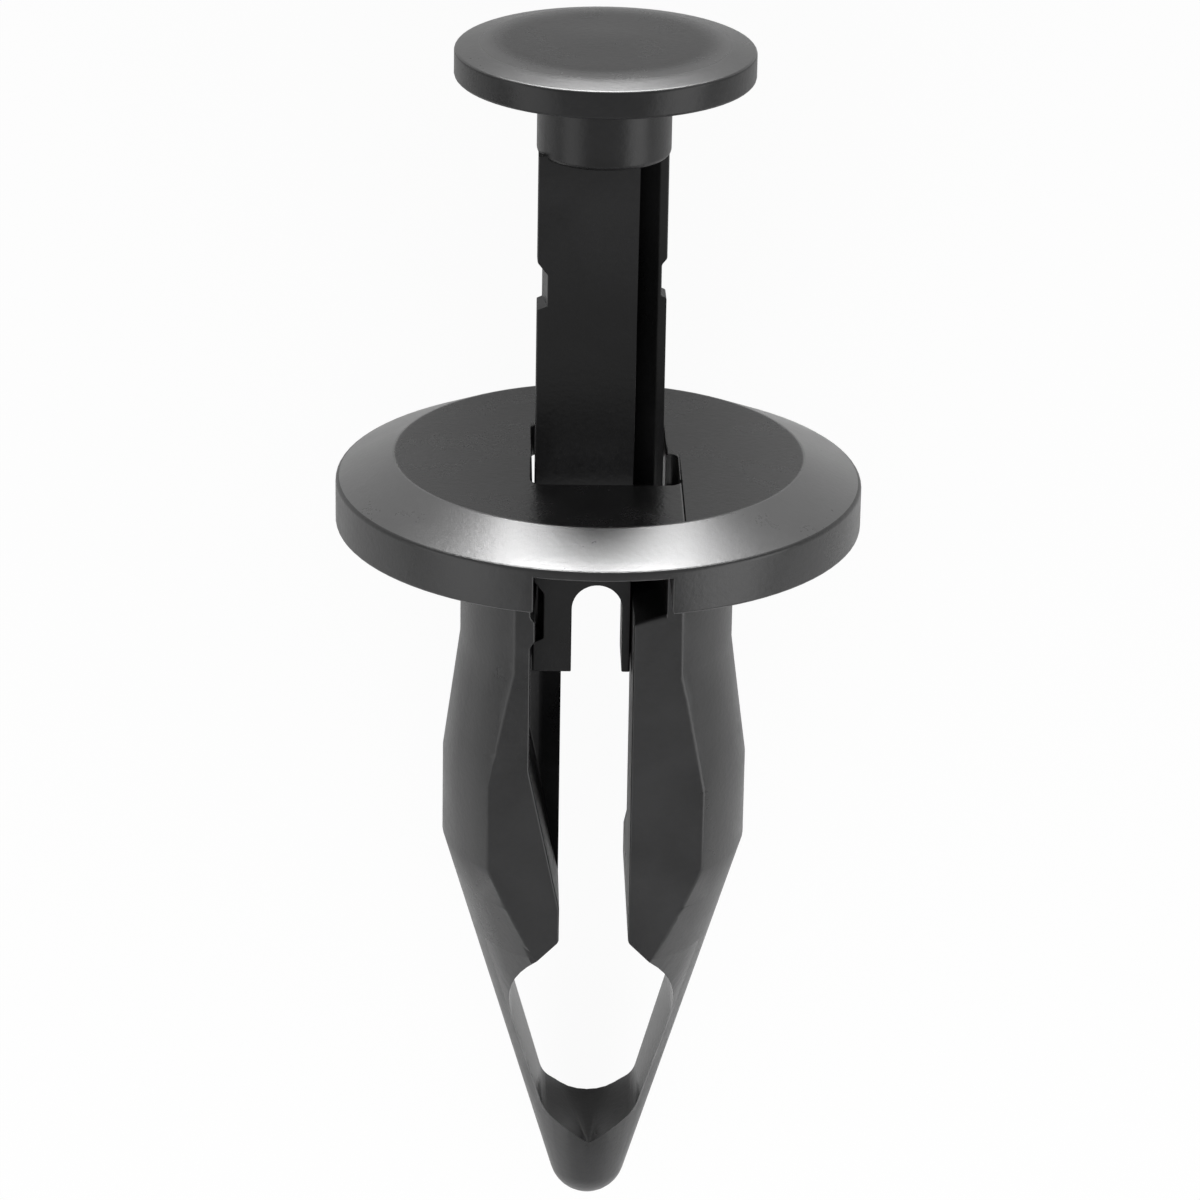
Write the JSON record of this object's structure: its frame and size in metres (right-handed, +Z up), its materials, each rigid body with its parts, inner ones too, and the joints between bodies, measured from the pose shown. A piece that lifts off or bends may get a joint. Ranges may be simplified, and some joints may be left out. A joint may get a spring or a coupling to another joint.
{
  "type": "bumper cover retainer",
  "caption": "Black nylon push-type panel retainer: round bevelled flange, spreading legs joined at a pointed nose, and a round-headed push pin that locks it.",
  "frame": {"origin": "centre of the panel hole, on the axis, in the plane of the flange's seat", "axes": "+Z up with the retainer lying on a level surface, +Y along it towards the raised head, +X across it"},
  "size_m": [0.018, 0.0423, 0.0184],
  "materials": {
    "nylon_body": "black moulded nylon, satin",
    "nylon_pin": "black moulded nylon, satin"
  },
  "bodies": {
    "retainer": {"body": "nylon_body"},
    "push_pin": {"pin": "nylon_pin"}
  },
  "joints": [
    {"name": "pin_push", "type": "slide", "parent": "retainer", "child": "push_pin", "axis": [0, -0.9552, -0.2958], "range_m": [0, 0.0134], "deforming": ["body"]}
  ]
}
